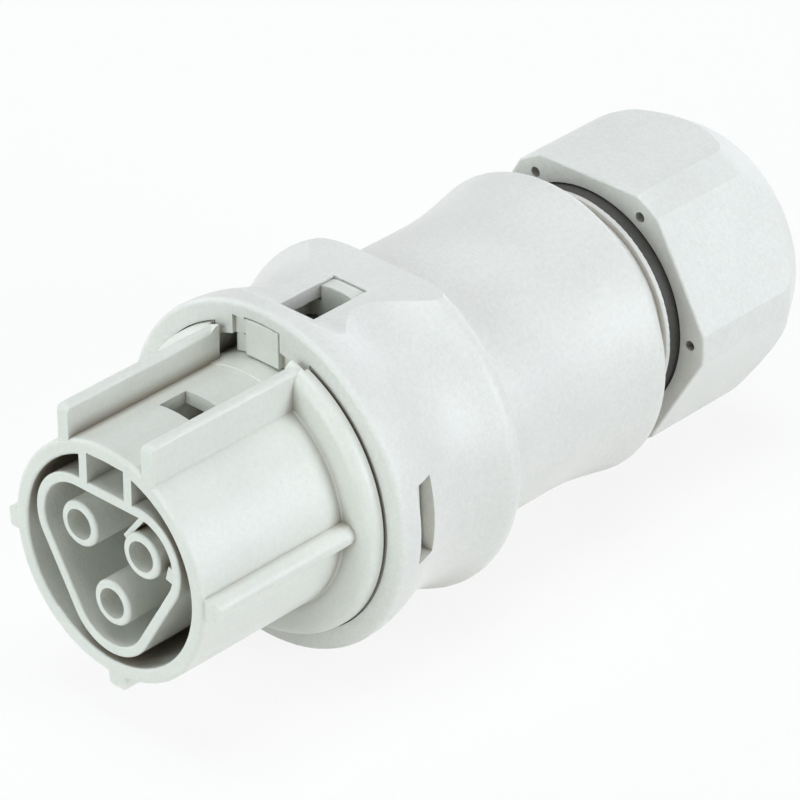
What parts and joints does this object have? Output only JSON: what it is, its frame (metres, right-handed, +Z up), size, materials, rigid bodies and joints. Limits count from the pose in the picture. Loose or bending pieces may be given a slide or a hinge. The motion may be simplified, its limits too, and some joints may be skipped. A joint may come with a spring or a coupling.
{
  "type": "inline power connector",
  "caption": "Round female inline power connector with guide-ribbed mating sleeve, socket tubes, waisted housing with latch window and hexagonal cable gland nut.",
  "frame": {"origin": "centre of the mating face, on the connector's axis", "axes": "+X along the axis towards the cable gland, +Z up through the latch side, lying on its underside"},
  "size_m": [0.0758, 0.0324, 0.0323],
  "materials": {
    "housing_plastic": "light grey polyamide, fine spark-eroded mould texture",
    "carrier_plastic": "light grey polyamide, smooth moulded",
    "insert_plastic": "grey polyamide, moulded",
    "contact_brass": "turned, tin washed",
    "terminal_brass": "milled",
    "screw_steel": "zinc plated",
    "guard_steel": "stamped stainless",
    "seal_rubber": "moulded"
  },
  "bodies": {
    "shell": {"chamber_seal": "seal_rubber", "contact_carrier": "carrier_plastic", "guard_earth": "guard_steel", "guard_line": "guard_steel", "guard_neutral": "guard_steel", "housing": "housing_plastic", "neck_ring": "seal_rubber", "screw_earth": "screw_steel", "screw_line": "screw_steel", "screw_neutral": "screw_steel", "socket_earth": "contact_brass", "socket_line": "contact_brass", "socket_neutral": "contact_brass", "terminal_earth": "terminal_brass", "terminal_holder": "insert_plastic", "terminal_line": "terminal_brass", "terminal_neutral": "terminal_brass"},
    "latch": {"locking_latch": "carrier_plastic"},
    "clamp": {"clamp_cage": "insert_plastic", "cable_seal": "seal_rubber", "slip_ring": "insert_plastic"},
    "nut": {"gland_nut": "housing_plastic"}
  },
  "joints": [
    {"name": "latch_slide", "type": "slide", "parent": "shell", "child": "latch", "axis": [-1, 0, 0], "range_m": [0, 0.004]},
    {"name": "gland_slide", "type": "slide", "parent": "shell", "child": "clamp", "axis": [1, 0, 0], "range_m": [-0.00076, 0.00451]},
    {"name": "gland_turn", "type": "hinge", "parent": "clamp", "child": "nut", "pos_m": [0.065, 0, 0], "axis": [1, 0, 0], "range_deg": [-180, 1080]}
  ],
  "couplings": [
    {"joint": "gland_slide", "follows": "gland_turn", "m_per_rad": 0.00023873}
  ]
}
